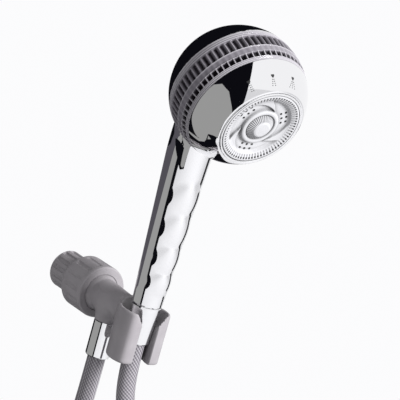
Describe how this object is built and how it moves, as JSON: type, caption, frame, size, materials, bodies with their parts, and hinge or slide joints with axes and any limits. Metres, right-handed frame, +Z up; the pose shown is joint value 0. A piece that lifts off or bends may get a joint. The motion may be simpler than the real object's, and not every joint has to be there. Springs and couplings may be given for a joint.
{
  "type": "handheld shower head",
  "caption": "Handheld shower head with a ball-shaped turning spray head, resting in a swivel wall bracket, with its coiled hose.",
  "frame": {"origin": "mouth of the bracket's half-inch inlet, on the shower arm's axis", "axes": "+Z up, -Y out from the wall, +X to the right seen from the front"},
  "size_m": [0.103, 0.3015, 0.4832],
  "materials": {
    "chrome": "chrome-plated ABS, mirror bright",
    "clear_acrylic": "clear moulded acrylic, faintly smoky",
    "grey_plastic": "satin warm grey acetal",
    "face_plastic": "satin light grey plastic",
    "dark_plastic": "dark grey moulded plastic",
    "white_plastic": "natural white plastic",
    "print": "dark pad-printed signs",
    "rubber": "black moulded rubber",
    "steel": "plain stainless steel",
    "brass": "turned brass",
    "hose": "grey vinyl over spiral braid",
    "strap": "black nylon strap"
  },
  "bodies": {
    "wall_fitting": {"inlet_fitting": "grey_plastic", "inlet_washer": "rubber", "inlet_screen": "steel"},
    "lock_nut": {"retaining_nut": "grey_plastic"},
    "ball_seat": {"seat_ring": "white_plastic"},
    "bracket": {"bracket": "grey_plastic", "outlet_connector": "chrome", "outlet_washer": "rubber", "outlet_nipple": "brass", "outlet_ferrule": "steel", "hose_outlet_leg": "hose", "hose_coil": "hose", "coil_tie": "strap"},
    "hose_end": {"handset_nipple": "brass", "handset_ferrule": "steel", "hose_handset_leg": "hose"},
    "handset": {"cone_nut": "chrome", "hose_washer": "rubber", "rear_shell": "chrome", "thread_insert": "white_plastic", "water_tube": "white_plastic", "manifold": "white_plastic", "pivot_post": "brass", "port_seal": "rubber", "seal_spring": "steel", "detent_spring": "steel", "post_seal": "rubber", "filter_screen": "steel", "flow_restrictor": "white_plastic", "check_spring": "steel"},
    "detent": {"detent_ball": "steel"},
    "spray_drum": {"drum": "dark_plastic", "selector_ring": "clear_acrylic", "front_shell": "chrome", "icon_marks": "print", "bezel_ring": "chrome", "spray_face": "face_plastic", "centre_cap": "face_plastic", "jet_plate": "white_plastic", "drum_seal": "rubber", "face_screws": "steel", "turbine_axle": "steel"},
    "turbine": {"turbine": "white_plastic"},
    "check_valve": {"check_poppet": "white_plastic"}
  },
  "joints": [
    {"name": "nut_turn", "type": "hinge", "parent": "wall_fitting", "child": "lock_nut", "pos_m": [0, -0.03716, -0.01733], "axis": [0, -0.9063, -0.4226], "range_deg": [0, 120]},
    {"name": "swivel_turn", "type": "hinge", "parent": "wall_fitting", "child": "ball_seat", "pos_m": [0, -0.04486, -0.02092], "axis": [0, -0.9063, -0.4226], "range_deg": [-90, 90]},
    {"name": "swivel_tilt", "type": "hinge", "parent": "ball_seat", "child": "bracket", "pos_m": [0, -0.04486, -0.02092], "axis": [1, 0, 0], "range_deg": [-12, 12]},
    {"name": "handset_lift", "type": "slide", "parent": "bracket", "child": "hose_end", "axis": [0, -0.4226, 0.9063], "range_m": [0, 0.03]},
    {"name": "handset_swivel", "type": "hinge", "parent": "hose_end", "child": "handset", "pos_m": [0, -0.10332, -0.04818], "axis": [0, -0.4226, 0.9063], "range_deg": [-90, 90]},
    {"name": "spray_selector", "type": "hinge", "parent": "handset", "child": "spray_drum", "pos_m": [0, -0.21969, 0.11382], "axis": [0, -0.6626, -0.749], "range_deg": [-40, 40]},
    {"name": "turbine_spin", "type": "hinge", "parent": "spray_drum", "child": "turbine", "pos_m": [0, -0.21969, 0.11382], "axis": [0, -0.6626, -0.749], "continuous": true},
    {"name": "detent_press", "type": "slide", "parent": "handset", "child": "detent", "axis": [0, 0.6626, 0.749], "range_m": [0, 0.0012], "stiffness_N_per_m": 600, "springref_m": -0.001, "deforming": ["detent_spring"]},
    {"name": "check_valve_lift", "type": "slide", "parent": "handset", "child": "check_valve", "axis": [0, -0.4226, 0.9063], "range_m": [0, 0.002], "stiffness_N_per_m": 150, "springref_m": -0.003, "deforming": ["check_spring"]}
  ]
}
